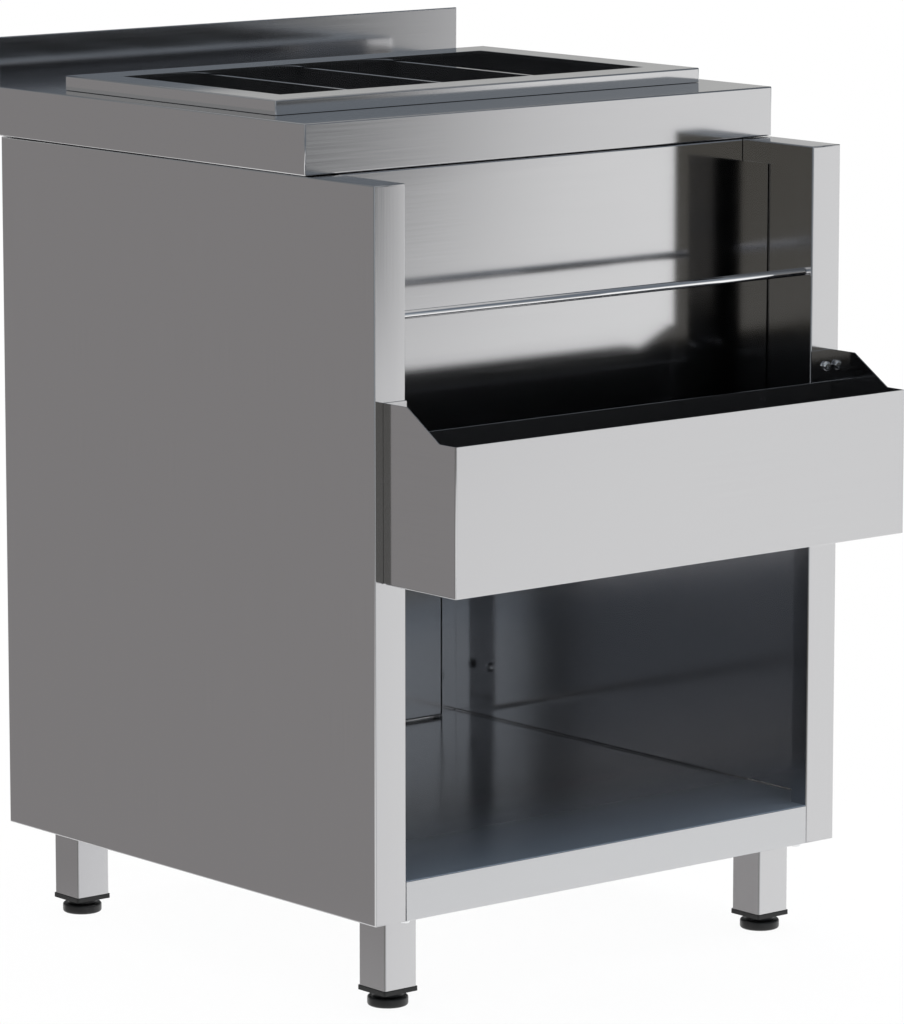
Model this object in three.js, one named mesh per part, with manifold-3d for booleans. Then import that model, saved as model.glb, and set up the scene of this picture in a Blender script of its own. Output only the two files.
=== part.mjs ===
// Waiter service station: a free-standing serving cabinet folded from stainless steel sheet.
// Millimetres, +Z up. The front faces -Y, and the origin is on the floor under the outline's middle.

import * as THREE from 'three';
import { mergeVertices } from 'three/addons/utils/BufferGeometryUtils.js';
import Module from 'manifold-3d';

const wasm = await Module();
wasm.setup();

// Sheet, folds and clearances
const sheet = 1.2;
const bendRadius = 1.6;
const fitGap = 0.3;
const panelGap = 0.7;
const worktopSeam = 0.5;
const arcSteps = 2;
const footSteps = 32;
const screwSteps = 12;
const cutReach = 5;
const mergeDistance = 0.0001;
const quarterTurn = Math.PI / 2;

// Cabinet body
const bodyWidth = 600;
const bodyDepth = 600;
const sideHeight = 710;
const stileWidth = 38;
const lipDepth = 22;
const plinthHeight = 40;
const plinthReturn = 20;
const flangeDepth = 20;
const backFloorGap = 2.5;

// Legs and levelling feet
const tubeSize = 40;
const tubeWall = 1.5;
const tubeCorner = 2.2;
const legInset = 35;
const legClearance = 7.5;
const legDrop = 74.5;
const legPlateWidth = 86;
const legPlateMargin = 4;
const legPlateThickness = 3;
const nutOffset = 32;
const capLip = 1;
const capThickness = 4.7;
const plugDepth = 25;
const padDiameter = 40;
const padHeight = 9.5;
const padEdge = 2;
const collarDiameter = 29;
const collarHeight = 4.8;
const stemDiameter = 10;
const stemLength = 45;

// Worktop
const worktopSetback = 102.4;
const worktopThickness = 50;
const worktopReturn = 15;
const sideOverhang = 1;
const rearOverhang = 3.4;
const upstandHeight = 50;
const upstandThickness = 3;
const upstandEdge = 1;
const bearerWidth = 32;
const bearerWall = 1.5;
const bearerEndInset = 20;

// Lift-out container with its raised frame
const frameWidth = 548;
const frameDepth = 342;
const frameHeight = 15;
const frameBorderSide = 39;
const frameBorderFront = 42;
const frameHem = 3.6;
const trayOverhangSide = 5.5;
const trayOverhangFront = 9.5;
const trayDepth = 150;
const trayFlange = 20;
const trayClearance = 2;
const compartments = 4;
const dividerThickness = 5;
const dividerDrop = 4.7;

// Bottle rail
const railReach = 107;
const railBottom = 331;
const railHeight = 144;
const railBackHeight = 141.5;
const railInset = 10.4;
const endPlateHeight = 173.5;
const endPlateTop = 35.2;
const endPlateSlope = 47.2;
const railScrewInset = 8.5;
const railScrewMargin = 16.4;

// Front panel, pocket behind the rail, and cross rod
const frontPanelSetback = 0.7;
const pocketRise = 20;
const pocketFold = 18;
const rodDiameter = 8;
const rodSetback = 12;
const rodHeight = 583.8;
const rodBore = 16;

// Fasteners
const screwDiameter = 5;
const screwHead = 10;
const screwHeadHeight = 3.2;
const headCrown = 6;
const headShoulder = 8.8;
const headShoulderDrop = 1;
const headRim = 0.6;
const screwLength = 14;
const screwClearance = 0.3;
const studDiameter = 6;
const studLength = 12;
const nutAcross = 10;
const nutHeight = 5;
const plinthScrewInset = 5.2;
const plinthScrewSetback = 9.2;
const tabReach = 15;
const backBoltLow = 45;
const backBoltHigh = 90;
const backBoltSetback = 16.5;
const worktopScrewMargin = 110;

// Places worked out from the sizes above
const panelBottom = padHeight + collarHeight + capThickness + legDrop;
const panelTop = panelBottom + sideHeight;
const floorTop = panelBottom + plinthHeight;
const worktopBottom = panelTop + worktopSeam;
const worktopTop = worktopBottom + worktopThickness;
const frontY = (railReach - bodyDepth - rearOverhang) / 2;
const backY = frontY + bodyDepth;
const halfWidth = bodyWidth / 2;
const lipX = halfWidth - stileWidth;
const skinX = halfWidth - sheet;
const bottomReturn = legInset - fitGap;
const legX = halfWidth - legInset - tubeSize / 2;
const legFrontY = frontY + lipDepth + legClearance + tubeSize / 2;
const legBackY = backY - lipDepth - legClearance - tubeSize / 2;
const tubeBottom = panelBottom - legDrop;
const legPlateTop = floorTop - sheet - fitGap;
const worktopFrontY = frontY + worktopSetback;
const worktopBackY = backY + rearOverhang;
const worktopX = halfWidth + sideOverhang;
const worktopMiddleY = (worktopFrontY + worktopBackY) / 2;
const frameTop = worktopTop + frameHeight;
const openingX = frameWidth / 2 - frameBorderSide;
const openingY = frameDepth / 2 - frameBorderFront;
const trayX = openingX + trayOverhangSide;
const trayY = openingY + trayOverhangFront;
const trayTop = frameTop - sheet - fitGap;
const trayFloor = frameTop - trayDepth;
const dividerTop = frameTop - dividerDrop;
const cutoutX = trayX + sheet + trayClearance;
const cutoutY = trayY + sheet + trayClearance;
const bearerX = worktopX - worktopReturn - fitGap - bearerWidth / 2;
const bearerBottom = panelTop + fitGap;
const bearerTop = worktopTop - sheet - fitGap;
const railX = halfWidth - railInset;
const railFrontY = frontY - railReach;
const railZ = panelBottom + railBottom;
const flangeFrontY = frontY - fitGap - sheet;
const railBackY = flangeFrontY - fitGap;
const frontPanelY = worktopFrontY + frontPanelSetback;
const frontPanelX = skinX - panelGap;
const frontPanelTop = panelTop - fitGap;
const pocketFloor = railZ + pocketRise;
const rodY = frontY + rodSetback;
const rodZ = panelBottom + rodHeight;

const station = new THREE.Group();

// Solid helpers: each takes [low, high] spans and gives a closed solid

function toSolid(geometry) {
  geometry.deleteAttribute('normal');
  geometry.deleteAttribute('uv');
  const merged = mergeVertices(geometry, mergeDistance);
  const corners = merged.index.array;
  const kept = [];
  for (let i = 0; i < corners.length; i += 3) {
    const [a, b, c] = [corners[i], corners[i + 1], corners[i + 2]];
    if (a !== b && b !== c && c !== a) kept.push(a, b, c);
  }
  const mesh = new wasm.Mesh({
    numProp: 3,
    vertProperties: new Float32Array(merged.attributes.position.array),
    triVerts: new Uint32Array(kept),
  });
  return new wasm.Manifold(mesh);
}

function box(x, y, z) {
  const geometry = new THREE.BoxGeometry(x[1] - x[0], y[1] - y[0], z[1] - z[0]);
  geometry.translate((x[0] + x[1]) / 2, (y[0] + y[1]) / 2, (z[0] + z[1]) / 2);
  return toSolid(geometry);
}

// Drawing planes whose third direction is the axis that a shape is extruded along
const planes = {
  x: new THREE.Matrix4().makeBasis(
    new THREE.Vector3(0, 1, 0), new THREE.Vector3(0, 0, 1), new THREE.Vector3(1, 0, 0)),
  y: new THREE.Matrix4().makeBasis(
    new THREE.Vector3(0, 0, 1), new THREE.Vector3(1, 0, 0), new THREE.Vector3(0, 1, 0)),
  z: new THREE.Matrix4(),
};

function prism(shape, axis, span) {
  const geometry = new THREE.ExtrudeGeometry(shape, {
    depth: span[1] - span[0],
    bevelEnabled: false,
    curveSegments: arcSteps,
  });
  geometry.translate(0, 0, span[0]);
  geometry.applyMatrix4(planes[axis]);
  return toSolid(geometry);
}

function roundedShape(a, b, radius) {
  const shape = new THREE.Shape();
  shape.absarc(a[1] - radius, b[0] + radius, radius, -quarterTurn, 0);
  shape.absarc(a[1] - radius, b[1] - radius, radius, 0, quarterTurn);
  shape.absarc(a[0] + radius, b[1] - radius, radius, quarterTurn, 2 * quarterTurn);
  shape.absarc(a[0] + radius, b[0] + radius, radius, 2 * quarterTurn, 3 * quarterTurn);
  shape.closePath();
  return shape;
}

// A block whose twelve edges are rounded like the folds of a sheet box
function foldedBox(x, y, z, radius = bendRadius) {
  const upright = prism(roundedShape(x, y, radius), 'z', z);
  const across = prism(roundedShape(y, z, radius), 'x', x);
  const along = prism(roundedShape(z, x, radius), 'y', y);
  return upright.intersect(across).intersect(along);
}

function inset(span, amount) {
  return [span[0] + amount, span[1] - amount];
}

// Turns a span on the right-hand side into the matching span of either side
function mirrored(side, near, far) {
  return side > 0 ? [near, far] : [-far, -near];
}

function rod(diameter, axis, centre, span) {
  const shape = new THREE.Shape();
  shape.absarc(centre[0], centre[1], diameter / 2, 0, 2 * Math.PI);
  const geometry = new THREE.ExtrudeGeometry(shape, {
    depth: span[1] - span[0],
    bevelEnabled: false,
    curveSegments: screwSteps / 2,
  });
  geometry.translate(0, 0, span[0]);
  geometry.applyMatrix4(planes[axis]);
  return toSolid(geometry);
}

function turned(points, steps) {
  const profile = points.map(([radius, height]) => new THREE.Vector2(radius, height));
  const geometry = new THREE.LatheGeometry(profile, steps);
  geometry.rotateX(quarterTurn);
  return toSolid(geometry);
}

// Materials

function steel() {
  return new THREE.MeshStandardMaterial({ color: 0xb4b4b6, metalness: 1, roughness: 0.32 });
}

function brightSteel() {
  return new THREE.MeshStandardMaterial({ color: 0xd6d7da, metalness: 1, roughness: 0.16 });
}

function blackPlastic() {
  return new THREE.MeshStandardMaterial({ color: 0x131313, metalness: 0, roughness: 0.55 });
}

function addPart(name, solid, material, parent = station) {
  const data = solid.getMesh();
  const geometry = new THREE.BufferGeometry();
  geometry.setAttribute('position', new THREE.BufferAttribute(new Float32Array(data.vertProperties), 3));
  geometry.setIndex(new THREE.BufferAttribute(new Uint32Array(data.triVerts), 1));
  geometry.computeVertexNormals();
  const mesh = new THREE.Mesh(geometry, material);
  mesh.name = name;
  parent.add(mesh);
  return mesh;
}

const sides = [['left', -1], ['right', 1]];
const corners = [
  ['front_left', -1, legFrontY],
  ['front_right', 1, legFrontY],
  ['back_left', -1, legBackY],
  ['back_right', 1, legBackY],
];
const screwHole = screwDiameter + 2 * screwClearance;

// Fixing points that several pieces share
const worktopScrewX = (lipX + sheet + bearerX + bearerWidth / 2) / 2;
const worktopScrewYs = [worktopFrontY + worktopScrewMargin, worktopBackY - worktopScrewMargin];
const backBoltZs = [floorTop + backBoltLow, panelTop - backBoltHigh];
const backBoltY = backY - backBoltSetback;
const railScrewX = railX - railScrewInset;
const railScrewZs = [
  ['upper', railZ + endPlateHeight - railScrewMargin, flangeFrontY],
  ['lower', railZ + railScrewMargin + bendRadius, railBackY - sheet],
];
const plinthScrewX = lipX - plinthScrewInset;
const plinthScrewY = frontY + plinthScrewSetback;

// Side panels: folded pans with returns and turned-in lips

function sidePanel(side) {
  const y = [frontY, backY];
  const z = [panelBottom, panelTop];
  const outer = foldedBox(mirrored(side, lipX, halfWidth), y, z);
  const hollow = foldedBox(
    mirrored(side, lipX + sheet, skinX), inset(y, sheet), inset(z, sheet), bendRadius - sheet);
  const window = box(
    mirrored(side, lipX - cutReach, halfWidth - bottomReturn),
    inset(y, lipDepth),
    [panelBottom - cutReach, panelTop - lipDepth]);
  const tabZ = panelBottom + sheet + fitGap;
  const tab = box(
    mirrored(side, lipX - tabReach, lipX + sheet / 2),
    [frontY + bendRadius + fitGap, frontY + lipDepth],
    [tabZ, tabZ + sheet]);
  let panel = outer.subtract(hollow).subtract(window).add(tab);
  const lipSpan = mirrored(side, lipX - cutReach, lipX + cutReach);
  for (const boltZ of backBoltZs) {
    panel = panel.subtract(rod(screwHole, 'x', [backBoltY, boltZ], lipSpan));
  }
  panel = panel.subtract(rod(screwHole, 'x', [rodY, rodZ], lipSpan));
  const stileSpan = [frontY - cutReach, frontY + cutReach];
  for (const [, screwZ] of railScrewZs) {
    panel = panel.subtract(rod(screwHole, 'y', [screwZ, side * railScrewX], stileSpan));
  }
  const topSpan = [panelTop - cutReach, panelTop + cutReach];
  for (const screwY of worktopScrewYs) {
    panel = panel.subtract(rod(screwHole, 'z', [side * worktopScrewX, screwY], topSpan));
  }
  const tabHole = [panelBottom - cutReach, panelBottom + cutReach];
  return panel.subtract(rod(screwHole, 'z', [side * plinthScrewX, plinthScrewY], tabHole));
}

for (const [word, side] of sides) addPart(`${word}_side_panel`, sidePanel(side), steel());

// Floor panel: shelf with a rear lip, plinth fold in front, down fold behind, weld studs for the legs

function floorPanel() {
  const between = [-lipX + fitGap, lipX - fitGap];
  const wall = [-skinX + fitGap, skinX - fitGap];
  const depth = [frontY, backY - sheet - fitGap];
  const height = [panelBottom, floorTop];
  const past = inset(between, -cutReach);
  const block = prism(roundedShape(depth, height, bendRadius), 'x', between);
  const hollow = prism(
    roundedShape(inset(depth, sheet), inset(height, sheet), bendRadius - sheet), 'x', past);
  const openBelow = box(
    past,
    [frontY + plinthReturn, depth[1] - plinthReturn],
    [panelBottom - cutReach, floorTop - sheet - fitGap]);
  const shelfY = [frontY + lipDepth + fitGap, backY - bendRadius - fitGap];
  const shelf = box(wall, shelfY, [floorTop - sheet, floorTop]);
  const lipY = depth[1] - bendRadius - 2 * sheet;
  const rearLip = box(
    between, [lipY, lipY + sheet], [floorTop - sheet / 2, floorTop + backFloorGap - fitGap]);
  let panel = block.subtract(hollow).subtract(openBelow).add(shelf).add(rearLip);
  for (const [, side] of sides) {
    const slotX = mirrored(side, lipX - fitGap, lipX + sheet + fitGap);
    const slotY = [backY - lipDepth - fitGap, backY + cutReach];
    panel = panel.subtract(box(slotX, slotY, [floorTop - cutReach, floorTop + cutReach]));
    const hole = [panelBottom - cutReach, panelBottom + cutReach];
    panel = panel.subtract(rod(screwHole, 'z', [side * plinthScrewX, plinthScrewY], hole));
  }
  for (const [, side, y] of corners) {
    for (const offset of [-nutOffset, nutOffset]) {
      const studZ = [legPlateTop - legPlateThickness - studLength, floorTop - sheet / 2];
      panel = panel.add(rod(studDiameter, 'z', [side * legX + offset, y], studZ));
    }
  }
  return panel;
}

addPart('floor_panel', floorPanel(), steel());

function floorStiffener() {
  const x = [-lipX + tubeSize, lipX - tubeSize];
  const middle = (frontY + backY) / 2;
  const y = [middle - tubeSize / 2, middle + tubeSize / 2];
  const z = [panelBottom + sheet, floorTop - sheet - fitGap];
  const hollow = box(inset(x, -cutReach), inset(y, sheet), [z[0] - cutReach, z[1] - sheet]);
  return box(x, y, z).subtract(hollow);
}

addPart('floor_stiffener', floorStiffener(), steel());

// Back panel: shallow pan bolted between the rear lips

function backPanel() {
  const x = [-lipX + panelGap, lipX - panelGap];
  const y = [backY - lipDepth, backY - lipDepth + flangeDepth];
  const z = [floorTop + backFloorGap, panelTop - fitGap];
  const hollow = foldedBox(
    inset(x, sheet), [y[0] + sheet, y[1] + cutReach], inset(z, sheet), bendRadius - sheet);
  let panel = foldedBox(x, [y[0], y[1] + bendRadius], z).subtract(hollow);
  const rearCut = box(inset(x, -cutReach), [y[1], y[1] + cutReach], inset(z, -cutReach));
  panel = panel.subtract(rearCut);
  for (const [, side] of sides) {
    for (const boltZ of backBoltZs) {
      const span = mirrored(side, lipX - cutReach, lipX + cutReach);
      panel = panel.subtract(rod(screwHole, 'x', [backBoltY, boltZ], span));
    }
  }
  return panel;
}

addPart('back_panel', backPanel(), steel());

// Front panel: apron under the worktop that turns forward into the pocket's floor

function frontPanel() {
  const x = [-frontPanelX, frontPanelX];
  const between = [-lipX + panelGap, lipX - panelGap];
  const rearY = frontPanelY + flangeDepth;
  const apron = foldedBox(x, [frontPanelY, rearY + bendRadius], [pocketFloor, frontPanelTop]);
  const apronHollow = foldedBox(
    inset(x, sheet), [frontPanelY + sheet, rearY + 2 * cutReach],
    [pocketFloor - cutReach, frontPanelTop - sheet], bendRadius - sheet);
  const rearCut = box(
    inset(x, -cutReach), [rearY, rearY + cutReach],
    [pocketFloor - cutReach, frontPanelTop + cutReach]);
  const pocketZ = [pocketFloor, pocketFloor + sheet];
  const pocket = box(x, [frontY + lipDepth + fitGap, frontPanelY + sheet], pocketZ);
  const pocketFront = box(between, [frontY + sheet, frontY + lipDepth + cutReach], pocketZ);
  const fold = box(
    between, [frontY + sheet, frontY + 2 * sheet], [pocketFloor - pocketFold, pocketFloor + sheet]);
  let panel = apron.subtract(apronHollow).subtract(rearCut).add(pocket).add(pocketFront).add(fold);
  for (const [, side] of sides) {
    const notchX = mirrored(side, lipX - panelGap, halfWidth);
    const notchZ = [panelTop - lipDepth - panelGap, panelTop];
    panel = panel.subtract(box(notchX, [frontPanelY - cutReach, rearY + cutReach], notchZ));
  }
  return panel;
}

addPart('front_panel', frontPanel(), steel());

// Worktop: folded top with a tray cut-out and an upstand along the back

function worktop() {
  const x = [-worktopX, worktopX];
  const y = [worktopFrontY, worktopBackY];
  const z = [worktopBottom, worktopTop];
  const hollow = foldedBox(inset(x, sheet), inset(y, sheet), inset(z, sheet), bendRadius - sheet);
  const below = box(
    inset(x, worktopReturn), inset(y, worktopReturn), [worktopBottom - cutReach, worktopBottom + cutReach]);
  const cutout = box(
    [-cutoutX, cutoutX], [worktopMiddleY - cutoutY, worktopMiddleY + cutoutY],
    [worktopTop - cutReach, worktopTop + cutReach]);
  const upstand = foldedBox(
    x, [worktopBackY - upstandThickness, worktopBackY],
    [worktopTop - bendRadius, worktopTop + upstandHeight], upstandEdge);
  const fillBack = box(
    inset(x, bendRadius), [worktopBackY - bendRadius, worktopBackY],
    [worktopTop - bendRadius, worktopTop]);
  const top = foldedBox(x, y, z).add(fillBack).add(upstand);
  return top.subtract(hollow).subtract(below).subtract(cutout);
}

addPart('worktop', worktop(), steel());

function bearer(side) {
  const x = mirrored(side, bearerX - bearerWidth / 2, bearerX + bearerWidth / 2);
  const y = [worktopFrontY + bearerEndInset, worktopBackY - bearerEndInset];
  const z = [bearerBottom, bearerTop];
  const hollow = box(inset(x, bearerWall), inset(y, -cutReach), inset(z, bearerWall));
  let tube = box(x, y, z).subtract(hollow);
  for (const screwY of worktopScrewYs) {
    const span = [bearerBottom - cutReach, bearerBottom + cutReach];
    tube = tube.subtract(rod(screwHole, 'z', [side * worktopScrewX, screwY], span));
  }
  return tube;
}

for (const [word, side] of sides) addPart(`worktop_bearer_${word}`, bearer(side), steel());

// Lift-out container: raised frame, tray and dividers folded double over their top edge

const container = new THREE.Group();
container.position.set(0, worktopMiddleY, 0);
station.add(container);

function containerFrame() {
  const x = [-frameWidth / 2, frameWidth / 2];
  const y = [-frameDepth / 2, frameDepth / 2];
  const z = [worktopTop + fitGap, frameTop];
  const open = [[-openingX, openingX], [-openingY, openingY]];
  const block = foldedBox(x, y, [z[0] - bendRadius, z[1]]);
  const hollow = foldedBox(
    inset(x, sheet), inset(y, sheet), [z[0] - 2 * cutReach, frameTop - sheet], bendRadius - sheet);
  const below = box(inset(x, -cutReach), inset(y, -cutReach), [z[0] - cutReach, z[0]]);
  const hem = box(
    inset(open[0], -sheet), inset(open[1], -sheet), [frameTop - frameHem, frameTop - sheet / 2]);
  const opening = box(open[0], open[1], [z[0] - cutReach, frameTop + cutReach]);
  return block.subtract(hollow).subtract(below).add(hem).subtract(opening);
}

addPart('container_frame', containerFrame(), steel(), container);

function containerTray() {
  const x = [-trayX, trayX];
  const y = [-trayY, trayY];
  const shell = foldedBox(inset(x, -sheet), inset(y, -sheet), [trayFloor - sheet, trayTop + bendRadius]);
  const topCut = box(inset(x, -cutReach), inset(y, -cutReach), [trayTop, trayTop + cutReach]);
  const flange = box(inset(x, -trayFlange), inset(y, -trayFlange), [trayTop - sheet, trayTop]);
  const hollow = foldedBox(x, y, [trayFloor, trayTop + cutReach], bendRadius - sheet);
  return shell.subtract(topCut).add(flange).subtract(hollow);
}

addPart('container_tray', containerTray(), steel(), container);

function divider(x) {
  const half = dividerThickness / 2;
  const y = [-trayY + bendRadius, trayY - bendRadius];
  const ends = [-trayY + fitGap, trayY - fitGap];
  const plate = box([x - half, x + half], ends, [trayFloor + bendRadius, dividerTop]);
  const foot = box([x - half, x + half], y, [trayFloor + fitGap, trayFloor + 2 * bendRadius]);
  const between = box(
    inset([x - half, x + half], sheet), inset(ends, -cutReach), [trayFloor - cutReach, dividerTop - sheet]);
  return plate.add(foot).subtract(between);
}

const compartmentPitch = 2 * trayX / compartments;
for (let i = 1; i < compartments; i += 1) {
  addPart(`container_divider_${i}`, divider(-trayX + i * compartmentPitch), steel(), container);
}

// Bottle rail: channel and two end plates with mounting flanges

function railChannel() {
  const x = [-railX, railX];
  const y = [railFrontY, railBackY];
  const z = [railZ, railZ + railHeight];
  const outer = foldedBox(x, y, [z[0], z[1] + cutReach]);
  const past = inset(x, -cutReach);
  const hollow = foldedBox(
    past, inset(y, sheet), [z[0] + sheet, z[1] + 2 * cutReach], bendRadius - sheet);
  const aboveFront = box(past, inset(y, -cutReach), [z[1], z[1] + 2 * cutReach]);
  const aboveBack = box(
    past, [y[1] - sheet - fitGap, y[1] + cutReach], [railZ + railBackHeight, z[1] + cutReach]);
  let channel = outer.subtract(hollow).subtract(aboveFront).subtract(aboveBack);
  for (const [, side] of sides) {
    const endX = mirrored(side, railX - sheet - fitGap, railX + cutReach);
    const endY = [y[1] - bendRadius, y[1] + cutReach];
    channel = channel.subtract(box(endX, endY, [railZ - cutReach, z[1] + cutReach]));
    const [, screwZ] = railScrewZs[1];
    const backSpan = [y[1] - cutReach, y[1] + cutReach];
    channel = channel.subtract(rod(screwHole, 'y', [screwZ, side * railScrewX], backSpan));
  }
  return channel;
}

addPart('bottle_rail_channel', railChannel(), steel());

function railEnd(side) {
  const bottom = railZ + sheet + fitGap;
  const frontTop = railZ + railHeight;
  const rearTop = railZ + endPlateHeight;
  const nearY = railFrontY + sheet + fitGap;
  const farY = frontY - fitGap;
  const slopeStart = frontY - endPlateTop;
  const outline = new THREE.Shape();
  outline.moveTo(nearY, bottom);
  outline.lineTo(farY, bottom);
  outline.lineTo(farY, rearTop);
  outline.lineTo(slopeStart, rearTop);
  outline.lineTo(slopeStart - endPlateSlope, frontTop);
  outline.lineTo(nearY, frontTop);
  outline.closePath();
  const plate = prism(outline, 'x', mirrored(side, railX - sheet, railX));
  const flange = box(mirrored(side, lipX, railX - sheet / 2), [flangeFrontY, farY], [bottom, rearTop]);
  let end = plate.add(flange);
  const flangeSpan = [frontY - cutReach, frontY + cutReach];
  for (const [, screwZ] of railScrewZs) {
    end = end.subtract(rod(screwHole, 'y', [screwZ, side * railScrewX], flangeSpan));
  }
  return end;
}

for (const [word, side] of sides) addPart(`bottle_rail_end_${word}`, railEnd(side), steel());

// Cross rod between the front lips, held by a screw in each end

const rodEnd = lipX - fitGap;

function crossRod() {
  let bar = rod(rodDiameter, 'x', [rodY, rodZ], [-rodEnd, rodEnd]);
  for (const [, side] of sides) {
    const bore = mirrored(side, rodEnd - rodBore, rodEnd + cutReach);
    bar = bar.subtract(rod(screwHole, 'x', [rodY, rodZ], bore));
  }
  return bar;
}

addPart('cross_rod', crossRod(), brightSteel());

// Pan-head screw along +Z: the head sits below the origin and the shank runs up from it

function panScrew(length = screwLength) {
  return turned([
    [0, -screwHeadHeight],
    [headCrown / 2, -screwHeadHeight],
    [headShoulder / 2, headShoulderDrop - screwHeadHeight],
    [screwHead / 2, -headRim],
    [screwHead / 2, 0],
    [screwDiameter / 2, 0],
    [screwDiameter / 2, length],
    [0, length],
  ], screwSteps);
}

function addScrew(name, position, rotation, length) {
  const screw = addPart(name, panScrew(length), brightSteel());
  screw.position.set(...position);
  screw.rotation.set(...rotation);
}

for (const [word, side] of sides) {
  const inward = [0, -side * quarterTurn, 0];
  const seatX = side * (lipX + sheet + fitGap);
  addScrew(`rod_screw_${word}`, [seatX, rodY, rodZ], inward, screwLength);
  for (const [level, z, seatY] of railScrewZs) {
    addScrew(`rail_screw_${word}_${level}`, [side * railScrewX, seatY - fitGap, z], [-quarterTurn, 0, 0]);
  }
  backBoltZs.forEach((z, i) => {
    addScrew(`back_panel_screw_${word}_${['lower', 'upper'][i]}`, [seatX, backBoltY, z], inward);
  });
  worktopScrewYs.forEach((y, i) => {
    const seat = [side * worktopScrewX, y, panelTop - sheet - fitGap];
    addScrew(`worktop_screw_${word}_${['front', 'back'][i]}`, seat, [0, 0, 0]);
  });
  addScrew(`plinth_screw_${word}`, [side * plinthScrewX, plinthScrewY, panelBottom - fitGap], [0, 0, 0]);
}

// Legs with their top plates, nuts, end caps and levelling feet, each built about the leg's own axis

function legTube() {
  const half = tubeSize / 2;
  const bore = half - tubeWall;
  const plateBottom = legPlateTop - legPlateThickness;
  const tube = prism(
    roundedShape([-half, half], [-half, half], tubeCorner), 'z', [tubeBottom, plateBottom + sheet]);
  const hollow = prism(
    roundedShape([-bore, bore], [-bore, bore], tubeCorner - tubeWall), 'z',
    [tubeBottom - cutReach, plateBottom]);
  const plateX = [-legPlateWidth / 2, legPlateWidth / 2];
  const plate = box(plateX, [-half - legPlateMargin, half + legPlateMargin], [plateBottom, legPlateTop]);
  let leg = tube.subtract(hollow).add(plate);
  for (const offset of [-nutOffset, nutOffset]) {
    const hole = [plateBottom - cutReach, legPlateTop + cutReach];
    leg = leg.subtract(rod(studDiameter + 2 * screwClearance, 'z', [offset, 0], hole));
  }
  return leg;
}

function endCap() {
  const half = tubeSize / 2 + capLip;
  const plugHalf = tubeSize / 2 - tubeWall - fitGap;
  const seat = tubeBottom - fitGap;
  const flange = prism(
    roundedShape([-half, half], [-half, half], tubeCorner), 'z', [tubeBottom - capThickness, seat]);
  const plug = prism(
    roundedShape([-plugHalf, plugHalf], [-plugHalf, plugHalf], tubeCorner - tubeWall), 'z',
    [seat - capThickness / 2, seat + plugDepth]);
  const hole = [tubeBottom - 2 * capThickness, tubeBottom + plugDepth + cutReach];
  return flange.add(plug).subtract(rod(stemDiameter + 2 * screwClearance, 'z', [0, 0], hole));
}

function levellingFoot() {
  const pad = padDiameter / 2;
  const collarTop = padHeight + collarHeight - fitGap;
  return turned([
    [0, 0],
    [pad - padEdge, 0],
    [pad, padEdge],
    [pad, padHeight - padEdge],
    [pad - padEdge, padHeight],
    [collarDiameter / 2, padHeight],
    [collarDiameter / 2, collarTop],
    [stemDiameter / 2, collarTop],
    [stemDiameter / 2, collarTop + stemLength],
    [0, collarTop + stemLength],
  ], footSteps);
}

function plateNut() {
  const hexagon = new THREE.Shape();
  const cornerRadius = nutAcross / Math.sqrt(3);
  for (let i = 0; i < 6; i += 1) {
    const angle = i * Math.PI / 3;
    const point = [cornerRadius * Math.cos(angle), cornerRadius * Math.sin(angle)];
    if (i === 0) hexagon.moveTo(...point);
    else hexagon.lineTo(...point);
  }
  hexagon.closePath();
  const top = legPlateTop - legPlateThickness - fitGap;
  const nut = prism(hexagon, 'z', [top - nutHeight, top]);
  const hole = [top - 2 * nutHeight, top + nutHeight];
  return nut.subtract(rod(studDiameter + 2 * screwClearance, 'z', [0, 0], hole));
}

for (const [word, side, y] of corners) {
  const corner = new THREE.Group();
  corner.position.set(side * legX, y, 0);
  station.add(corner);
  addPart(`leg_${word}`, legTube(), steel(), corner);
  addPart(`leg_cap_${word}`, endCap(), blackPlastic(), corner);
  addPart(`foot_${word}`, levellingFoot(), blackPlastic(), corner);
  for (const [place, offset] of [['outer', side * nutOffset], ['inner', -side * nutOffset]]) {
    addPart(`leg_nut_${word}_${place}`, plateNut(), brightSteel(), corner).position.x = offset;
  }
}

export default station;
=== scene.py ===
import math

import bmesh
import bpy
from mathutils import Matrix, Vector


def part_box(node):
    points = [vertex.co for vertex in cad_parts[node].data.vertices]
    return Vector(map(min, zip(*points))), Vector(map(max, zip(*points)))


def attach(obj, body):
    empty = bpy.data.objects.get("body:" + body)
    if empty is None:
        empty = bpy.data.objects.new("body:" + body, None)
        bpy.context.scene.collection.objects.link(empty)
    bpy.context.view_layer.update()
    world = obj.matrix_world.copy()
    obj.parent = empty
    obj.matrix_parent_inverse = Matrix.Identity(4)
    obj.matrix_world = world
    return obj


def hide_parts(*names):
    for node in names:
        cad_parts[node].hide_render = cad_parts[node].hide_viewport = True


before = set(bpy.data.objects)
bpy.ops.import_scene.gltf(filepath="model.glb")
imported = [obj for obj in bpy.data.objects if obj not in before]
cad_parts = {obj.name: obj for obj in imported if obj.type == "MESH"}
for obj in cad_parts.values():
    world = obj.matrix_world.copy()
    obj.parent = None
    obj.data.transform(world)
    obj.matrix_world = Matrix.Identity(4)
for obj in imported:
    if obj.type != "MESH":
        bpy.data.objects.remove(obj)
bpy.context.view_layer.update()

# Waiter service station in brushed stainless steel, standing on a pale studio floor

MM = 0.001
SIDES = (("left", -1), ("right", 1))
CORNERS = ("front_left", "front_right", "back_left", "back_right")
EIGHTH_TURN = math.pi / 4
QUARTER_TURN = math.pi / 2
FULL_TURN = 2 * math.pi
RIGHTWARD = Vector((1, 0, 0))
BACKWARD = Vector((0, 1, 0))
UPWARD = Vector((0, 0, 1))

# Camera

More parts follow.
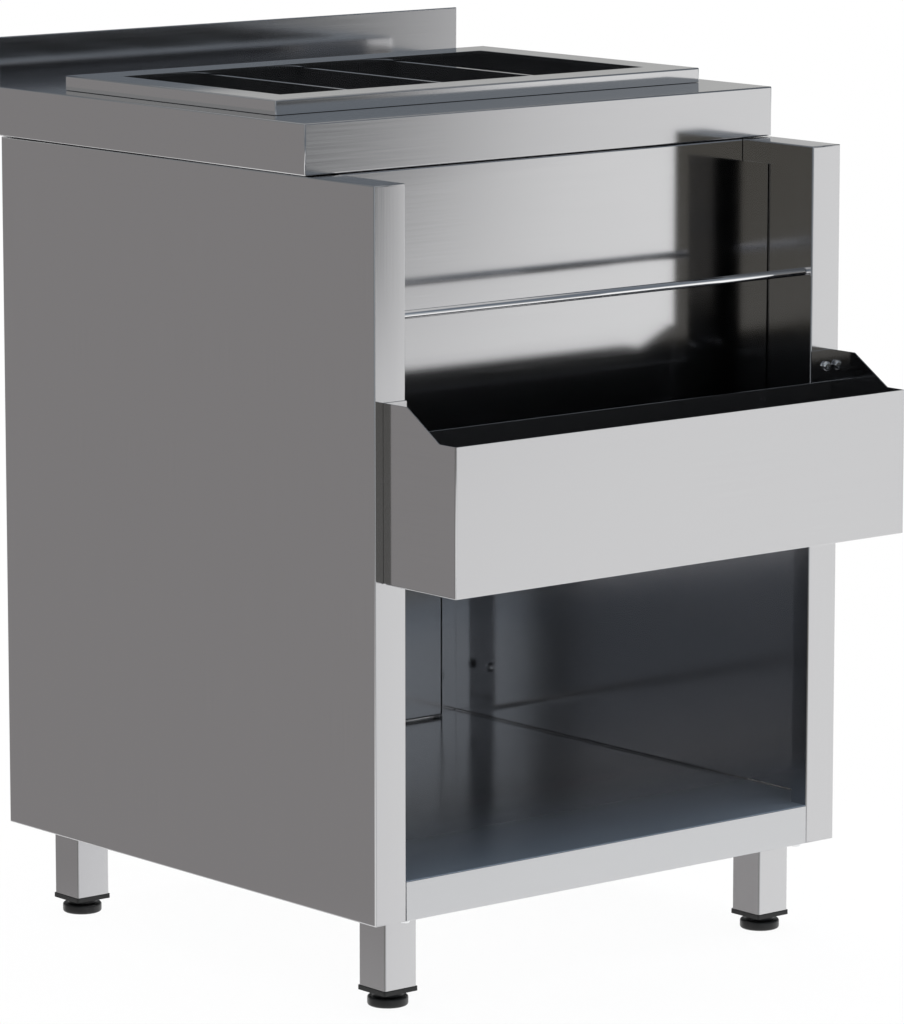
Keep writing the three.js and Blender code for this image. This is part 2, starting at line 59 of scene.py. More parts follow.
CAMERA_AIM = Vector((-0.0124, -0.0165, 0.4345))
CAMERA_DISTANCE = 5.7
CAMERA_TURN = math.radians(39.776)
CAMERA_TILT = math.radians(9.557)
CAMERA_LENS = 199.2
VIEW_AWAY = Vector((math.sin(CAMERA_TURN), math.cos(CAMERA_TURN), 0))
VIEW_RIGHT = Vector((math.cos(CAMERA_TURN), -math.sin(CAMERA_TURN), 0))

# Tones of the surroundings

# Each tone stands at a bearing, a share of a full turn:
# 0 towards the camera, 0.25 to its left, 0.5 away from it, 0.75 to its right.
WHITE = (1.0, 1.0, 1.0)
GREY_SIDE = (0.312, 0.300, 0.300)
COOL_GREY = (0.21, 0.235, 0.265)
WARM_SHADE = (0.12, 0.112, 0.093)
SHADED_FLOOR = (0.19, 0.187, 0.178)
SKY_TONES = (
    (0.0, (0.30, 0.33, 0.355)), (0.03, (0.22, 0.245, 0.27)), (0.25, (0.30, 0.30, 0.30)),
    (0.45, (0.45, 0.45, 0.445)), (0.506, (0.45, 0.45, 0.445)), (0.511, (0.58, 0.58, 0.575)),
    (0.55, (0.54, 0.54, 0.53)), (0.70, (0.36, 0.38, 0.40)), (0.765, (0.34, 0.36, 0.38)),
    (0.782, COOL_GREY), (0.83, COOL_GREY), (0.97, (0.70, 0.765, 0.82)),
    (1.0, (0.75, 0.82, 0.88)))
UPPER_TONES = (
    (0.0, (0.19, 0.207, 0.225)), (0.25, (0.19, 0.205, 0.22)), (0.55, (0.19, 0.205, 0.22)),
    (0.72, (0.14, 0.16, 0.19)), (0.88, (0.14, 0.16, 0.19)), (0.97, (0.38, 0.41, 0.45)),
    (1.0, (0.40, 0.43, 0.47)))
FAR_GROUND_TONES = (
    (0.0, WARM_SHADE), (0.07, WARM_SHADE), (0.12, (0.33, 0.32, 0.31)),
    (0.20, GREY_SIDE), (0.31, GREY_SIDE), (0.37, WHITE), (0.7775, WHITE),
    (0.7815, (0.06, 0.065, 0.07)), (0.815, (0.08, 0.085, 0.09)), (0.87, (0.5, 0.5, 0.5)),
    (0.92, (0.45, 0.45, 0.45)), (0.955, WARM_SHADE), (1.0, WARM_SHADE))
NEAR_GROUND_TONES = (
    (0.0, SHADED_FLOOR), (0.07, SHADED_FLOOR), (0.12, (0.32, 0.32, 0.31)),
    (0.20, GREY_SIDE), (0.31, GREY_SIDE), (0.37, WHITE), (0.778, WHITE),
    (0.80, (0.72, 0.72, 0.74)), (0.87, (0.62, 0.62, 0.63)), (0.92, (0.55, 0.55, 0.56)),
    (0.955, (0.32, 0.32, 0.31)), (1.0, SHADED_FLOOR))
ZENITH_TONE = (0.5, 0.5, 0.5)

# Heights between which one tone turns into the next, as the rise of a unit direction.
UPPER_BAND = (0.13, 0.23)
ZENITH_BAND = (0.72, 0.92)
NEAR_GROUND_BAND = (-0.11, -0.15)
UNDERFOOT_BAND = (-0.28, -0.42)
HORIZON_BAND = (0.025, -0.04)

# Floor and lamp

FLOOR_CENTRE = Vector((0.12, -0.1))
FLOOR_DROP = 0.5 * MM
FLOOR_SOLID = 0.3
FLOOR_REACH = 0.8
FLOOR_STEPS = 96
FLOOR_CLEARNESS = 0.85
FLOOR_GLOW = 0.62
FLOOR_PAINT = (0.85, 0.85, 0.85)
LAMP_PLACE = Vector((0.7, -0.2, 3.4))
LAMP_AIM = Vector((0, 0, 0.4))
LAMP_SIZE = 3.6
LAMP_POWER = 32

# Brushed sheet

GRAIN_ALONG = 9
GRAIN_ACROSS = 900
GRAIN_DETAIL = 3
GRAIN_RANGE = (0.25, 0.75)
GRAIN_SPREAD = 0.015
GRAIN_BUMP = 0.05
GRAIN_DEPTH = 0.01 * MM
CLOUD_SCALE = 5
CLOUD_DETAIL = 2
CLOUD_RANGE = (0.3, 0.7)
CLOUD_DRIFT = 0.005
STEEL_DARK = (0.590, 0.589, 0.597)
STEEL_LIGHT = (0.622, 0.621, 0.630)
STEEL_ROUGHNESS = 0.115
APRON_DARK = (0.632, 0.631, 0.639)
APRON_LIGHT = (0.664, 0.663, 0.672)
APRON_ROUGHNESS = 0.11
RAIL_METALLIC = 0.965
CONTAINER_DARK = (0.610, 0.610, 0.617)
CONTAINER_LIGHT = (0.645, 0.645, 0.653)
CONTAINER_ROUGHNESS = 0.075
CONTAINER_METALLIC = 0.96

# Shelf

SHELF_DARK = (0.588, 0.592, 0.603)
SHELF_LIGHT = (0.618, 0.624, 0.636)
# Painted sheen: a bluish tone blended into the shelf's upper face towards the front, standing in for
# light falling in through the open front.
SHELF_SHEEN = (0.56, 0.70, 0.88)
SHELF_ROUGHNESS = 0.16
SHELF_SHEEN_STRENGTH = 0.75
# Places along Y between which the painted sheen fades out, and how far up a face must look to take it.
SHELF_SHEEN_FROM = -0.24
SHELF_SHEEN_TO = 0.03
SHELF_UPPER_FACE = (0.4, 0.6)

# Bright metal

DRAWN_ALONG = 30
DRAWN_ACROSS = 1400
DRAWN_DETAIL = 2
DRAWN_RANGE = (0.3, 0.7)
DRAWN_SPREAD = 0.02
ROD_DARK = (0.86, 0.86, 0.87)
ROD_LIGHT = (0.94, 0.94, 0.95)
ROD_ROUGHNESS = 0.05
ZINC_DARK = (0.80, 0.81, 0.82)
ZINC_LIGHT = (0.90, 0.91, 0.92)
ZINC_ROUGHNESS = 0.17

# Moulded plastic

MOULD_GRAIN = 1500
MOULD_CLOUDS = 60
MOULD_DETAIL = 2
MOULD_RANGE = (0.3, 0.7)
MOULD_SPREAD = 0.05
MOULD_BUMP = 0.15
MOULD_DEPTH = 0.05 * MM
PLASTIC_DARK = (0.012, 0.012, 0.012)
PLASTIC_LIGHT = (0.02, 0.02, 0.02)
CAP_ROUGHNESS = 0.42
FOOT_ROUGHNESS = 0.36

# Edges of the solids

WELD_DISTANCE = 0.001 * MM
CHAMFER_WIDTH = 0.25 * MM
CHAMFER_SEGMENTS = 2
CHAMFER_ANGLE = math.radians(60)
SHARP_ANGLE = math.radians(50)
FACE_WEIGHT = 100

# Screws

SCREW_STEPS = 48
HEAD_RADIUS = 5.0 * MM
HEAD_HEIGHT = 3.2 * MM
HEAD_INSET = 0.02 * MM
HEAD_FLAT_SHARE = 0.56
# Share of the head's radius, and depth below the top of the head in millimetres.
HEAD_CROWN = ((0.7, 0.14), (0.82, 0.34), (0.91, 0.66), (0.97, 1.1), (1.0, 1.7))
SHANK_RADIUS = 2.5 * MM
SHANK_TIP = 0.8 * MM
SHANK_TIP_SHARE = 0.7
RECESS_REACH = 2.5 * MM
RECESS_HALF_WIDTH = 0.55 * MM
RECESS_DEPTH = 1.7 * MM
RECESS_FLOOR_SHARE = 0.45
RECESS_RIM_DEPTH = 0.25 * MM
RECESS_RIM_SHARE = 0.92
SMALLEST_SINE = 0.01

# Levelling feet

FOOT_STEPS = 64
PAD_HEIGHT = 9.5 * MM
PAD_FILLET = 2.2 * MM
PAD_FILLET_STEPS = 6
PAD_BASE_INSET = 1.0 * MM
COLLAR_RADIUS = 14.5 * MM
COLLAR_TOP = 14.0 * MM
COLLAR_FLARE = 0.8 * MM
COLLAR_FILLET = 0.8 * MM
COLLAR_FILLET_STEPS = 4
STEM_RADIUS = 5.0 * MM
STEM_SHOULDER = 1.0 * MM
STEM_POINT = 1.0 * MM
THREAD_START = 1.0 * MM
THREAD_PITCH = 1.5 * MM
THREAD_DEPTH = 0.4 * MM
RINGS_PER_PITCH = 4

# Cross rod and shelf seams

ROD_CHAMFER = 0.6 * MM
SHEET = 1.2 * MM
LIP_DEPTH = 22 * MM
BACK_PANEL_RISE = 2.5 * MM
SEAM_RADIUS = 1.7 * MM
SEAM_GAP = 0.05 * MM
SEAM_END = 3 * MM
SEAM_STEPS = 6


# Node helpers

# Places of the colour sockets on a Mix node, whose names aren't unique
MIX_FIRST = 6
MIX_SECOND = 7
MIX_RESULT = 2


def link(tree, source, target):
    tree.links.new(source, target)


def add_node(tree, kind, **settings):
    node = tree.nodes.new(kind)
    for key, value in settings.items():
        setattr(node, key, value)
    return node


def fill_socket(tree, socket, value):
    """Set a socket to a number or a colour, or link another node's output to it."""
    if isinstance(value, (int, float)):
        socket.default_value = value
    elif isinstance(value, tuple):
        socket.default_value = (*value, 1)
    else:
        link(tree, value, socket)


def map_range(tree, value, span, low, high, smooth=True):
    """Turn the span of a value into the range from low to high."""
    node = add_node(tree, "ShaderNodeMapRange")
    node.interpolation_type = "SMOOTHSTEP" if smooth else "LINEAR"
    link(tree, value, node.inputs["Value"])
    node.inputs["From Min"].default_value = span[0]
    node.inputs["From Max"].default_value = span[1]
    node.inputs["To Min"].default_value = low
    node.inputs["To Max"].default_value = high
    return node.outputs["Result"]


def spread_about(tree, value, span, middle, spread):
    return map_range(tree, value, span, middle - spread, middle + spread, smooth=False)


def math_node(tree, operation, first, second):
    node = add_node(tree, "ShaderNodeMath", operation=operation)
    fill_socket(tree, node.inputs[0], first)
    fill_socket(tree, node.inputs[1], second)
    return node.outputs[0]


def dot_with(tree, vector, direction):
    node = add_node(tree, "ShaderNodeVectorMath", operation="DOT_PRODUCT")
    link(tree, vector, node.inputs[0])
    node.inputs[1].default_value = direction
    return node.outputs["Value"]


def blend_colours(tree, factor, first, second):
    node = add_node(tree, "ShaderNodeMix", data_type="RGBA")
    link(tree, factor, node.inputs[0])
    fill_socket(tree, node.inputs[MIX_FIRST], first)
    fill_socket(tree, node.inputs[MIX_SECOND], second)
    return node.outputs[MIX_RESULT]


def stretched_noise(tree, scale, detail):
    coords = add_node(tree, "ShaderNodeTexCoord")
    mapping = add_node(tree, "ShaderNodeMapping")
    mapping.inputs["Scale"].default_value = scale
    link(tree, coords.outputs["Object"], mapping.inputs["Vector"])
    noise = add_node(tree, "ShaderNodeTexNoise")
    noise.inputs["Scale"].default_value = 1.0
    noise.inputs["Detail"].default_value = detail
    link(tree, mapping.outputs["Vector"], noise.inputs["Vector"])
    return noise.outputs["Fac"]


def grain_scale(axis, along, across):
    scale = [across] * 3
    scale["XYZ".index(axis)] = along
    return scale


def add_bump(tree, shader, height, strength, distance):
    bump = add_node(tree, "ShaderNodeBump")
    bump.inputs["Strength"].default_value = strength
    bump.inputs["Distance"].default_value = distance
    link(tree, height, bump.inputs["Height"])
    link(tree, bump.outputs["Normal"], shader.inputs["Normal"])


def new_material(name):
    material = bpy.data.materials.new(name)
    material.use_nodes = True
    return material, material.node_tree, material.node_tree.nodes["Principled BSDF"]


# Materials

def brushed_steel(name, grain, dark, light, roughness, metallic=1.0):
    material, tree, shader = new_material(name)
    streaks = stretched_noise(tree, grain_scale(grain, GRAIN_ALONG, GRAIN_ACROSS), GRAIN_DETAIL)
    clouds = stretched_noise(tree, (CLOUD_SCALE,) * 3, CLOUD_DETAIL)
    link(tree, blend_colours(tree, streaks, dark, light), shader.inputs["Base Color"])
    spread = spread_about(tree, streaks, GRAIN_RANGE, roughness, GRAIN_SPREAD)
    drift = spread_about(tree, clouds, CLOUD_RANGE, 0.0, CLOUD_DRIFT)
    link(tree, math_node(tree, "ADD", spread, drift), shader.inputs["Roughness"])
    shader.inputs["Metallic"].default_value = metallic
    add_bump(tree, shader, streaks, GRAIN_BUMP, GRAIN_DEPTH)
    return material


def shelf_steel_with_painted_sheen(name):
    """Brushed steel with a painted sheen: its upper face turns duller, bluish and lighter towards the
    front edge, standing in for light falling in through the open front.
    """
    material = brushed_steel(name, "X", SHELF_DARK, SHELF_LIGHT, SHELF_ROUGHNESS)
    tree = material.node_tree
    coords = add_node(tree, "ShaderNodeTexCoord")
    depth = dot_with(tree, coords.outputs["Object"], BACKWARD)
    facing_up = dot_with(tree, coords.outputs["Normal"], UPWARD)
    # Painted sheen mask: strongest at the front edge, fading out towards the back, and only on upward
    # faces.
    front_sheen = map_range(tree, depth, (SHELF_SHEEN_FROM, SHELF_SHEEN_TO), SHELF_SHEEN_STRENGTH, 0.0)
    upper = map_range(tree, facing_up, SHELF_UPPER_FACE, 0.0, 1.0)
    painted_sheen = math_node(tree, "MULTIPLY", front_sheen, upper)
    shader = tree.nodes["Principled BSDF"]
    bare = shader.inputs["Base Color"].links[0].from_socket
    link(tree, blend_colours(tree, painted_sheen, bare, SHELF_SHEEN), shader.inputs["Base Color"])
    link(tree, math_node(tree, "SUBTRACT", 1.0, painted_sheen), shader.inputs["Metallic"])
    return material


def bright_metal(name, grain, dark, light, roughness):
    material, tree, shader = new_material(name)
    streaks = stretched_noise(tree, grain_scale(grain, DRAWN_ALONG, DRAWN_ACROSS), DRAWN_DETAIL)
    link(tree, blend_colours(tree, streaks, dark, light), shader.inputs["Base Color"])
    spread = spread_about(tree, streaks, DRAWN_RANGE, roughness, DRAWN_SPREAD)
    link(tree, spread, shader.inputs["Roughness"])
    shader.inputs["Metallic"].default_value = 1.0
    return material


def moulded_plastic(name, roughness):
    material, tree, shader = new_material(name)
    texture = stretched_noise(tree, (MOULD_GRAIN,) * 3, MOULD_DETAIL)
    clouds = stretched_noise(tree, (MOULD_CLOUDS,) * 3, MOULD_DETAIL)
    link(tree, blend_colours(tree, clouds, PLASTIC_DARK, PLASTIC_LIGHT), shader.inputs["Base Color"])
    spread = spread_about(tree, clouds, MOULD_RANGE, roughness, MOULD_SPREAD)
    link(tree, spread, shader.inputs["Roughness"])
    add_bump(tree, shader, texture, MOULD_BUMP, MOULD_DEPTH)
    return material


def cabinet_steel(axis):
    return brushed_steel(f"brushed_steel_{axis.lower()}", axis, STEEL_DARK, STEEL_LIGHT, STEEL_ROUGHNESS)


def tray_steel(axis):
    return brushed_steel(f"container_steel_{axis.lower()}", axis, CONTAINER_DARK, CONTAINER_LIGHT,
                         CONTAINER_ROUGHNESS, CONTAINER_METALLIC)


steel = {axis: cabinet_steel(axis) for axis in "XYZ"}
# The shelf's upper face carries a painted sheen towards its front.
shelf_steel = shelf_steel_with_painted_sheen("shelf_steel")
apron_steel = brushed_steel("apron_steel", "X", APRON_DARK, APRON_LIGHT, APRON_ROUGHNESS)
rail_steel = brushed_steel("rail_steel", "X", STEEL_DARK, STEEL_LIGHT, STEEL_ROUGHNESS, RAIL_METALLIC)
container_steel = {axis: tray_steel(axis) for axis in "XY"}
rod_steel = bright_metal("polished_rod_steel", "X", ROD_DARK, ROD_LIGHT, ROD_ROUGHNESS)
zinc = bright_metal("zinc_plate", "Z", ZINC_DARK, ZINC_LIGHT, ZINC_ROUGHNESS)
cap_plastic = moulded_plastic("cap_plastic", CAP_ROUGHNESS)
foot_plastic = moulded_plastic("foot_plastic", FOOT_ROUGHNESS)

# The screws and nuts, which aren't named here, are zinc plated.
NODE_FINISH = {
    "floor_panel": shelf_steel,
    "floor_stiffener": steel["X"],
    "back_panel": steel["X"],
    "front_panel": apron_steel,
    "worktop": steel["X"],
    "bottle_rail_channel": rail_steel,
    "container_frame": container_steel["X"],
    "container_tray": container_steel["X"],
    "container_divider_1": container_steel["Y"],
    "container_divider_2": container_steel["Y"],
    "container_divider_3": container_steel["Y"],
    "cross_rod": rod_steel,
}
for side, _ in SIDES:
    NODE_FINISH[f"{side}_side_panel"] = steel["Z"]
    NODE_FINISH[f"worktop_bearer_{side}"] = steel["Y"]
    NODE_FINISH[f"bottle_rail_end_{side}"] = steel["Y"]
for corner in CORNERS:
    NODE_FINISH[f"leg_{corner}"] = steel["Z"]
    NODE_FINISH[f"leg_cap_{corner}"] = cap_plastic
    NODE_FINISH[f"foot_{corner}"] = foot_plastic


# Softened edges on the solids

def smooth_bends_group():
    """Geometry nodes that shade the faces smooth, except across edges above the sharp angle."""
    group = bpy.data.node_groups.new("smooth_bends", "GeometryNodeTree")
    group.interface.new_socket("Geometry", in_out="INPUT", socket_type="NodeSocketGeometry")
    group.interface.new_socket("Geometry", in_out="OUTPUT", socket_type="NodeSocketGeometry")
    entry = add_node(group, "NodeGroupInput")
    leave = add_node(group, "NodeGroupOutput")
    faces = add_node(group, "GeometryNodeSetShadeSmooth", domain="FACE")
    faces.inputs["Shade Smooth"].default_value = True
    edges = add_node(group, "GeometryNodeSetShadeSmooth", domain="EDGE")
    edges.inputs["Shade Smooth"].default_value = False
    angle = add_node(group, "GeometryNodeInputMeshEdgeAngle")
    sharp = add_node(group, "FunctionNodeCompare", data_type="FLOAT", operation="GREATER_THAN")
    sharp.inputs[1].default_value = SHARP_ANGLE
    link(group, entry.outputs["Geometry"], faces.inputs["Geometry"])
    link(group, faces.outputs["Geometry"], edges.inputs["Geometry"])
    link(group, angle.outputs["Unsigned Angle"], sharp.inputs[0])
    link(group, sharp.outputs["Result"], edges.inputs["Selection"])
    link(group, edges.outputs["Geometry"], leave.inputs["Geometry"])
    return group


smooth_bends = smooth_bends_group()


def shade_bends(obj):
    smooth = obj.modifiers.new("smooth_bends", "NODES")
    smooth.node_group = smooth_bends


def soften_edges(obj):
    weld = obj.modifiers.new("weld", "WELD")
    weld.merge_threshold = WELD_DISTANCE
    chamfer = obj.modifiers.new("chamfer", "BEVEL")
    chamfer.width = CHAMFER_WIDTH
    chamfer.segments = CHAMFER_SEGMENTS
    chamfer.limit_method = "ANGLE"
    chamfer.angle_limit = CHAMFER_ANGLE
    chamfer.use_clamp_overlap = True
    shade_bends(obj)
    even = obj.modifiers.new("even_faces", "WEIGHTED_NORMAL")
    even.keep_sharp = True
    even.weight = FACE_WEIGHT


for name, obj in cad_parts.items():
    obj.data.materials.clear()
    obj.data.materials.append(NODE_FINISH.get(name, zinc))
    soften_edges(obj)


# Mesh pieces

def mesh_object(name, points, faces, material, body):
    mesh = bpy.data.meshes.new(name)
    mesh.from_pydata(points, [], faces)
    mesh.validate()
    build = bmesh.new()
    build.from_mesh(mesh)
    bmesh.ops.recalc_face_normals(build, faces=build.faces)
    build.to_mesh(mesh)
    build.free()
    mesh.materials.append(material)
    obj = bpy.data.objects.new(name, mesh)
    bpy.context.scene.collection.objects.link(obj)
    shade_bends(obj)
    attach(obj, body)
    return obj


def ring_stack(rings, steps):
    """Points and faces of a stack of rings, each a radius by angle and a height, closed at both ends."""
    points = []
    faces = []
    for radius_at, height in rings:
        for i in range(steps):
            angle = FULL_TURN * i / steps
            radius = radius_at(angle)
            points.append((radius * math.cos(angle), radius * math.sin(angle), height))
    for k in range(len(rings) - 1):
        for i in range(steps):
            j = (i + 1) % steps
            faces.append((k * steps + i, k * steps + j, (k + 1) * steps + j, (k + 1) * steps + i))
    faces.append(tuple(reversed(range(steps))))
    last = (len(rings) - 1) * steps
    faces.append(tuple(range(last, last + steps)))
    return points, faces


def round_ring(radius, height):
    return (lambda angle: radius), height


def turned_to(points, place, direction):
    turn = UPWARD.rotation_difference(direction).to_matrix()
    return [turn @ Vector(p) + place for p in points]


def arc(centre, radius, start, stop, steps):
    angles = [start + (stop - start) * i / steps for i in range(steps + 1)]
    return [(centre[0] + radius * math.cos(a), centre[1] + radius * math.sin(a)) for a in angles]


# Pan-head screws with a cross recess

def recess_ring(share, height):
    """Cross-shaped ring at a share of the recess's full size."""
    def radius_at(angle):
        turn = abs((angle + EIGHTH_TURN) % QUARTER_TURN - EIGHTH_TURN)
        reach = RECESS_REACH * share / math.cos(turn)
        side = RECESS_HALF_WIDTH * share / max(math.sin(turn), SMALLEST_SINE)
        return min(reach, side)
    return radius_at, height


def screw_rings(length):
    rings = [
        recess_ring(RECESS_FLOOR_SHARE, RECESS_DEPTH),
        recess_ring(RECESS_RIM_SHARE, RECESS_RIM_DEPTH),
        recess_ring(1.0, HEAD_INSET),
        round_ring(HEAD_FLAT_SHARE * HEAD_RADIUS, HEAD_INSET),
    ]
    for share, drop in HEAD_CROWN:
        rings.append(round_ring(share * HEAD_RADIUS, drop * MM))
    rings.append(round_ring(HEAD_RADIUS, HEAD_HEIGHT))
    rings.append(round_ring(SHANK_RADIUS, HEAD_HEIGHT))
    rings.append(round_ring(SHANK_RADIUS, length - SHANK_TIP))
    rings.append(round_ring(SHANK_TIP_SHARE * SHANK_RADIUS, length))
    return rings


def pan_screw(node, direction):
    """Screw whose head lies at the start of its CAD box and whose shank runs along direction."""
    low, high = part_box(node)
    middle = (low + high) / 2
    length = abs((high - low).dot(direction))
    place = middle - direction * length / 2
    points, faces = ring_stack(screw_rings(length), SCREW_STEPS)
    screw = mesh_object(f"{node}_detail", turned_to(points, place, direction), faces,
                        zinc, "cabinet")
    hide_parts(node)


for side, sign in SIDES:
    inward = -sign * RIGHTWARD
    pan_screw(f"rod_screw_{side}", inward)
    for level in ("upper", "lower"):
        pan_screw(f"rail_screw_{side}_{level}", BACKWARD)
        pan_screw(f"back_panel_screw_{side}_{level}", inward)
    for end in ("front", "back"):
        pan_screw(f"worktop_screw_{side}_{end}", UPWARD)
    pan_screw(f"plinth_screw_{side}", UPWARD)


# Levelling feet: moulded pad, collar and threaded stem

def thread_ring(height):
    def radius_at(angle):
        phase = (height / THREAD_PITCH - angle / FULL_TURN) % 1
        return STEM_RADIUS - THREAD_DEPTH * abs(2 * phase - 1)
    return radius_at, height


def pad_and_collar_rings(radius):
    inner = radius - PAD_FILLET
    profile = [(inner - PAD_BASE_INSET, 0)]
    profile += arc((inner, PAD_FILLET), PAD_FILLET, -QUARTER_TURN, 0, PAD_FILLET_STEPS)
    profile += arc((inner, PAD_HEIGHT - PAD_FILLET), PAD_FILLET, 0, QUARTER_TURN, PAD_FILLET_STEPS)
    profile.append((COLLAR_RADIUS + COLLAR_FLARE, PAD_HEIGHT))
    profile.append((COLLAR_RADIUS, PAD_HEIGHT + COLLAR_FLARE))
    profile += arc((COLLAR_RADIUS - COLLAR_FILLET, COLLAR_TOP - COLLAR_FILLET), COLLAR_FILLET,
                   0, QUARTER_TURN, COLLAR_FILLET_STEPS)
    return [round_ring(*point) for point in profile]


def stem_rings(top):
    rings = [
        round_ring(STEM_RADIUS + STEM_SHOULDER, COLLAR_TOP),
        round_ring(STEM_RADIUS - THREAD_DEPTH, COLLAR_TOP),
    ]
    height = COLLAR_TOP + THREAD_START
    while height < top - STEM_POINT:
        rings.append(thread_ring(height))
        height += THREAD_PITCH / RINGS_PER_PITCH
    rings.append(round_ring(STEM_RADIUS - 2 * THREAD_DEPTH, top))
    return rings


def levelling_foot(corner):
    node = f"foot_{corner}"
    low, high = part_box(node)
    centre = Vector(((low.x + high.x) / 2, (low.y + high.y) / 2, low.z))
    radius = (high.x - low.x) / 2
    rings = pad_and_collar_rings(radius) + stem_rings(high.z - low.z)
    points, faces = ring_stack(rings, FOOT_STEPS)
    foot = mesh_object(f"{node}_detail", [Vector(p) + centre for p in points], faces,
                       foot_plastic, node)
    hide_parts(node)


for corner in CORNERS:
    levelling_foot(corner)


# Cross rod as a smooth drawn bar

def cross_rod():
    low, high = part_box("cross_rod")
    radius = (high.z - low.z) / 2
    length = high.x - low.x
    rings = [
        round_ring(radius - ROD_CHAMFER, 0),
        round_ring(radius, ROD_CHAMFER),
        round_ring(radius, length - ROD_CHAMFER),
        round_ring(radius - ROD_CHAMFER, length),
    ]
    points, faces = ring_stack(rings, SCREW_STEPS)
    place = Vector((low.x, (low.y + high.y) / 2, (low.z + high.z) / 2))
    bar = mesh_object("cross_rod_bar", turned_to(points, place, RIGHTWARD), faces,
                      rod_steel, "cabinet")
    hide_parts("cross_rod")


cross_rod()


# Rounded seams along the side edges of the shelf

def shelf_seam(side, sign):
    """Quarter-round strip in the corner between the shelf and the skin of a side panel."""
    low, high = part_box(f"{side}_side_panel")
    skin = (high.x if sign > 0 else low.x) - sign * (SHEET + SEAM_GAP)
    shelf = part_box("back_panel")[0].z - BACK_PANEL_RISE + SEAM_GAP
    section = [(skin, shelf)]
    for across, up in arc((0, 0), SEAM_RADIUS, 0, QUARTER_TURN, SEAM_STEPS):
        section.append((skin - sign * across, shelf + up))
    ends = (low.y + LIP_DEPTH + SEAM_END, high.y - SEAM_END)
    points = [(x, y, z) for y in ends for x, z in section]
    count = len(section)
    faces = [tuple(range(count)), tuple(reversed(range(count, 2 * count)))]
    for i in range(count):
        j = (i + 1) % count
        faces.append((i, j, count + j, count + i))
    mesh_object(f"shelf_seam_{side}", points, faces, steel["Y"], "cabinet")


for side, sign in SIDES:
    shelf_seam(side, sign)


# Surroundings: a grey sky over a ground that is white behind the object and shaded near the camera

def tone_ramp(tree, bearing, stops):
    """Colours by bearing; the first stop is at 0 and the last at 1, as in a new ramp."""
    ramp = add_node(tree, "ShaderNodeValToRGB")
    elements = ramp.color_ramp.elements
    for place, _ in stops[1:-1]:
        elements.new(place)
    for element, (_, tone) in zip(elements, stops):
        element.color = (*tone, 1)
    link(tree, bearing, ramp.inputs["Fac"])
    return ramp.outputs["Color"]


def blend_by_height(tree, height, band, first, second):
    return blend_colours(tree, map_range(tree, height, band, 0.0, 1.0), first, second)


def studio_world():
    world = bpy.data.worlds.new("studio")
    bpy.context.scene.world = world
    world.use_nodes = True
    tree = world.node_tree
    tree.nodes.clear()
    coords = add_node(tree, "ShaderNodeTexCoord").outputs["Generated"]
    height = dot_with(tree, coords, UPWARD)
    right = dot_with(tree, coords, VIEW_RIGHT)
    away = dot_with(tree, coords, VIEW_AWAY)
    angle = math_node(tree, "ARCTAN2", right, away)
    bearing = map_range(tree, angle, (-math.pi, math.pi), 0.0, 1.0, smooth=False)
    sky = tone_ramp(tree, bearing, SKY_TONES)
    upper = tone_ramp(tree, bearing, UPPER_TONES)
    far_ground = tone_ramp(tree, bearing, FAR_GROUND_TONES)
    near_ground = tone_ramp(tree, bearing, NEAR_GROUND_TONES)
    sky = blend_by_height(tree, height, UPPER_BAND, sky, upper)
    sky = blend_by_height(tree, height, ZENITH_BAND, sky, ZENITH_TONE)
    ground = blend_by_height(tree, height, NEAR_GROUND_BAND, far_ground, near_ground)
    ground = blend_by_height(tree, height, UNDERFOOT_BAND, ground, WHITE)
    tone = blend_by_height(tree, height, HORIZON_BAND, sky, ground)
    background = add_node(tree, "ShaderNodeBackground")
    link(tree, tone, background.inputs["Color"])
    output = add_node(tree, "ShaderNodeOutputWorld")
    link(tree, background.outputs["Background"], output.inputs["Surface"])


# Floor: a pale, see-through disc that fades out towards its rim

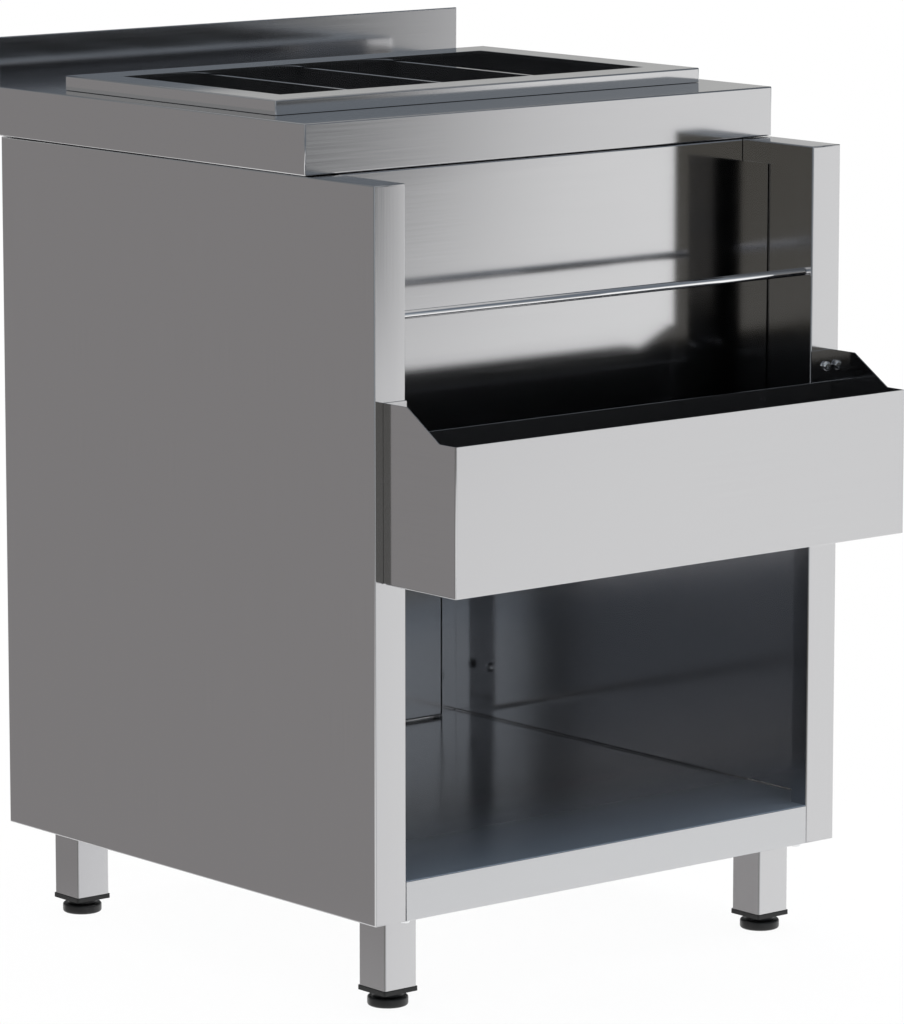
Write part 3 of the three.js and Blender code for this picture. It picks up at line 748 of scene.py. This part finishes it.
def floor_material():
    material = bpy.data.materials.new("pale_floor")
    material.use_nodes = True
    tree = material.node_tree
    tree.nodes.clear()
    coords = add_node(tree, "ShaderNodeTexCoord").outputs["Object"]
    distance = add_node(tree, "ShaderNodeVectorMath", operation="LENGTH")
    link(tree, coords, distance.inputs[0])
    fading = (FLOOR_SOLID, FLOOR_REACH)
    cover = map_range(tree, distance.outputs["Value"], fading, 1.0 - FLOOR_CLEARNESS, 0.0)
    glow = add_node(tree, "ShaderNodeEmission")
    fill_socket(tree, glow.inputs["Color"], WHITE)
    fill_socket(tree, glow.inputs["Strength"], FLOOR_GLOW)
    paint = add_node(tree, "ShaderNodeBsdfDiffuse")
    fill_socket(tree, paint.inputs["Color"], FLOOR_PAINT)
    surface = add_node(tree, "ShaderNodeAddShader")
    link(tree, glow.outputs[0], surface.inputs[0])
    link(tree, paint.outputs[0], surface.inputs[1])
    clear = add_node(tree, "ShaderNodeBsdfTransparent")
    fade = add_node(tree, "ShaderNodeMixShader")
    link(tree, cover, fade.inputs["Fac"])
    link(tree, clear.outputs[0], fade.inputs[1])
    link(tree, surface.outputs[0], fade.inputs[2])
    output = add_node(tree, "ShaderNodeOutputMaterial")
    link(tree, fade.outputs[0], output.inputs["Surface"])
    return material


def studio_floor():
    mesh = bpy.data.meshes.new("studio_floor")
    angles = [FULL_TURN * i / FLOOR_STEPS for i in range(FLOOR_STEPS)]
    rim = [(FLOOR_REACH * math.cos(a), FLOOR_REACH * math.sin(a), 0) for a in angles]
    mesh.from_pydata(rim, [], [tuple(range(FLOOR_STEPS))])
    mesh.materials.append(floor_material())
    floor = bpy.data.objects.new("studio_floor", mesh)
    floor.location = (FLOOR_CENTRE.x, FLOOR_CENTRE.y, -FLOOR_DROP)
    bpy.context.scene.collection.objects.link(floor)


# Lamp and camera

def overhead_lamp():
    data = bpy.data.lights.new("overhead", "AREA")
    data.shape = "DISK"
    data.size = LAMP_SIZE
    data.energy = LAMP_POWER
    lamp = bpy.data.objects.new("overhead", data)
    lamp.location = LAMP_PLACE
    lamp.visible_glossy = False
    lamp.rotation_euler = (LAMP_AIM - LAMP_PLACE).to_track_quat("-Z", "Y").to_euler()
    bpy.context.scene.collection.objects.link(lamp)


def place_camera():
    data = bpy.data.cameras.new("main_camera")
    data.lens = CAMERA_LENS
    camera = bpy.data.objects.new("main_camera", data)
    view = VIEW_AWAY * math.cos(CAMERA_TILT) - UPWARD * math.sin(CAMERA_TILT)
    camera.location = CAMERA_AIM - view * CAMERA_DISTANCE
    camera.rotation_euler = (QUARTER_TURN - CAMERA_TILT, 0, -CAMERA_TURN)
    bpy.context.scene.collection.objects.link(camera)
    bpy.context.scene.camera = camera


studio_world()
studio_floor()
overhead_lamp()
place_camera()
bpy.context.scene.view_settings.view_transform = "Standard"
